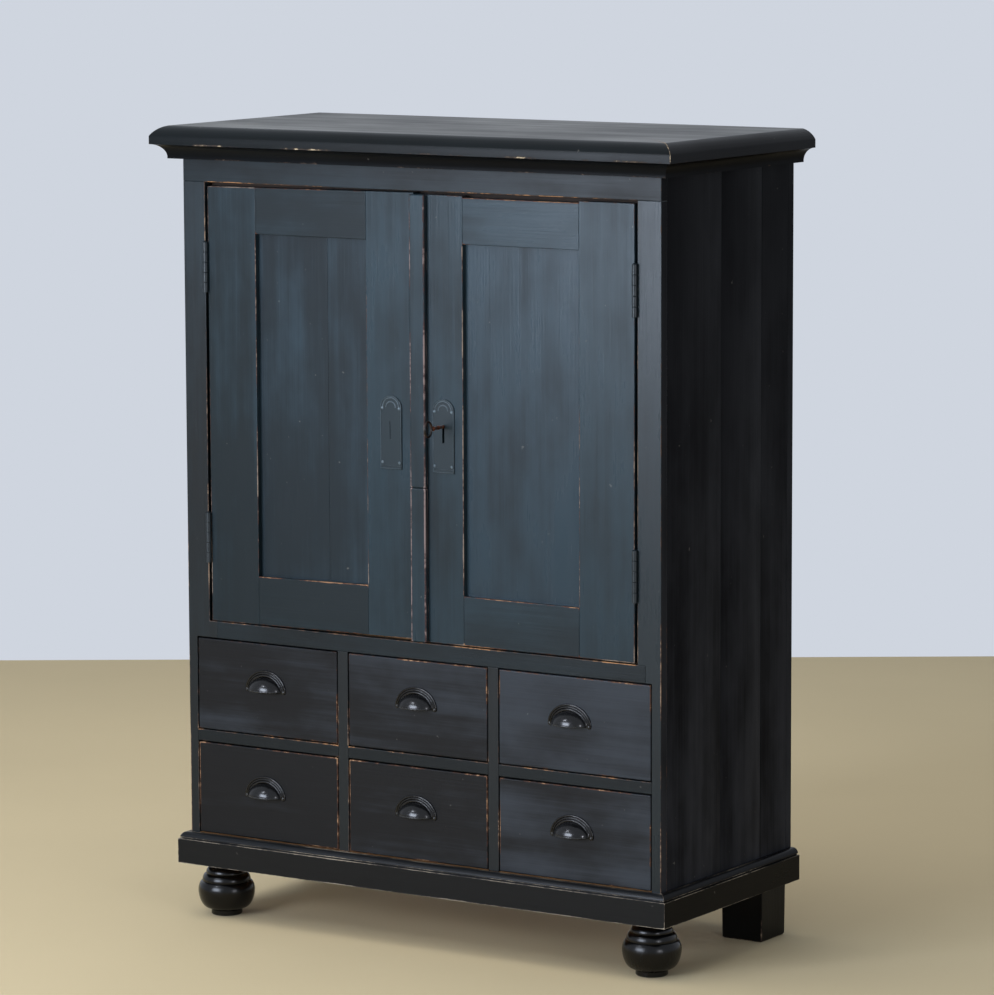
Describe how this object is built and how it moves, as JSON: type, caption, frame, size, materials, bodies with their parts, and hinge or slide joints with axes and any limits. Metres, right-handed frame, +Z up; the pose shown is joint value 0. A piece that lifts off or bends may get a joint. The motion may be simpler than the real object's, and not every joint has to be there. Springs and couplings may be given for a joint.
{
  "type": "cupboard with doors over drawers",
  "caption": "Floor-standing painted cupboard: a pair of framed doors with shelves inside, over rows of small drawers with cup pulls, on turned front feet.",
  "frame": {"origin": "middle of the overall box on the floor", "axes": "+Z up and the longest extent; the doors and drawers face -Y, and +X is to the right as seen from the front"},
  "size_m": [1.087, 0.516, 1.446],
  "materials": {
    "case_paint": "worn satin blue-black paint on pine",
    "side_paint": "worn satin black paint on pine",
    "door_paint": "worn satin blue-grey paint on pine",
    "panel_paint": "worn satin blue-grey paint on pine",
    "drawer_paint": "worn satin blue-black paint on pine",
    "moulding_paint": "glossy black paint rubbed through on the edges",
    "top_paint": "worn satin grey-black paint on pine",
    "bare_pine": "bare aged pine",
    "foot_paint": "glossy black paint on turned pine",
    "black_iron": "glossy black lacquered iron",
    "aged_steel": "browned steel with rust",
    "dark_brass": "blackened brass"
  },
  "bodies": {
    "case": {"left_side": "side_paint", "right_side": "side_paint", "top_board": "top_paint", "cornice": "moulding_paint", "back_boards": "bare_pine", "left_stile": "case_paint", "right_stile": "case_paint", "top_rail": "case_paint", "door_rail": "case_paint", "partitions": "case_paint", "row_rails": "case_paint", "bottom_board": "bare_pine", "mid_board": "bare_pine", "drawer_runners": "bare_pine", "plinth_front": "moulding_paint", "plinth_returns": "moulding_paint", "foot_blocks": "bare_pine", "front_feet": "foot_paint", "rear_feet": "foot_paint", "door_stop": "bare_pine", "shelves": "bare_pine", "shelf_battens": "bare_pine", "case_hinge_leaves": "aged_steel", "hinge_pins": "aged_steel"},
    "left_door": {"left_hinge_stile": "door_paint", "left_lock_stile": "door_paint", "left_door_rails": "door_paint", "left_panel": "panel_paint", "left_hinge_leaves": "aged_steel", "left_plate": "dark_brass", "bolt_housing": "black_iron"},
    "right_door": {"right_hinge_stile": "door_paint", "right_lock_stile": "door_paint", "right_door_rails": "door_paint", "right_panel": "panel_paint", "right_hinge_leaves": "aged_steel", "cover_strip": "door_paint", "right_plate": "dark_brass", "lock_case": "black_iron"},
    "key": {"key": "aged_steel"},
    "lock_bolt": {"lock_bolt": "aged_steel"},
    "slide_bolt": {"slide_bolt": "aged_steel"},
    "upper_left_drawer": {"upper_left_drawer_front": "drawer_paint", "upper_left_drawer_box": "bare_pine", "upper_left_drawer_pull": "black_iron"},
    "upper_middle_drawer": {"upper_middle_drawer_front": "drawer_paint", "upper_middle_drawer_box": "bare_pine", "upper_middle_drawer_pull": "black_iron"},
    "upper_right_drawer": {"upper_right_drawer_front": "drawer_paint", "upper_right_drawer_box": "bare_pine", "upper_right_drawer_pull": "black_iron"},
    "lower_left_drawer": {"lower_left_drawer_front": "drawer_paint", "lower_left_drawer_box": "bare_pine", "lower_left_drawer_pull": "black_iron"},
    "lower_middle_drawer": {"lower_middle_drawer_front": "drawer_paint", "lower_middle_drawer_box": "bare_pine", "lower_middle_drawer_pull": "black_iron"},
    "lower_right_drawer": {"lower_right_drawer_front": "drawer_paint", "lower_right_drawer_box": "bare_pine", "lower_right_drawer_pull": "black_iron"}
  },
  "joints": [
    {"name": "right_door_hinge", "type": "hinge", "parent": "case", "child": "right_door", "pos_m": [0.45, -0.2, 0.948], "axis": [0, 0, 1], "range_deg": [0, 105]},
    {"name": "left_door_hinge", "type": "hinge", "parent": "case", "child": "left_door", "pos_m": [-0.45, -0.2, 0.948], "axis": [0, 0, -1], "range_deg": [0, 105]},
    {"name": "key_turn", "type": "hinge", "parent": "right_door", "child": "key", "pos_m": [0.0585, -0.2, 0.93646], "axis": [0, 1, 0], "range_deg": [0, 180]},
    {"name": "lock_bolt_slide", "type": "slide", "parent": "right_door", "child": "lock_bolt", "axis": [-1, 0, 0], "range_m": [0, 0.009]},
    {"name": "slide_bolt_slide", "type": "slide", "parent": "left_door", "child": "slide_bolt", "axis": [0, 0, 1], "range_m": [0, 0.014]},
    {"name": "upper_left_drawer_slide", "type": "slide", "parent": "case", "child": "upper_left_drawer", "axis": [0, -1, 0], "range_m": [0, 0.27]},
    {"name": "upper_middle_drawer_slide", "type": "slide", "parent": "case", "child": "upper_middle_drawer", "axis": [0, -1, 0], "range_m": [0, 0.27]},
    {"name": "upper_right_drawer_slide", "type": "slide", "parent": "case", "child": "upper_right_drawer", "axis": [0, -1, 0], "range_m": [0, 0.27]},
    {"name": "lower_left_drawer_slide", "type": "slide", "parent": "case", "child": "lower_left_drawer", "axis": [0, -1, 0], "range_m": [0, 0.27]},
    {"name": "lower_middle_drawer_slide", "type": "slide", "parent": "case", "child": "lower_middle_drawer", "axis": [0, -1, 0], "range_m": [0, 0.27]},
    {"name": "lower_right_drawer_slide", "type": "slide", "parent": "case", "child": "lower_right_drawer", "axis": [0, -1, 0], "range_m": [0, 0.27]}
  ],
  "couplings": [
    {"joint": "left_door_hinge", "follows": "right_door_hinge", "ratio": 1},
    {"joint": "key_turn", "follows": "lock_bolt_slide", "rad_per_m": 349}
  ]
}
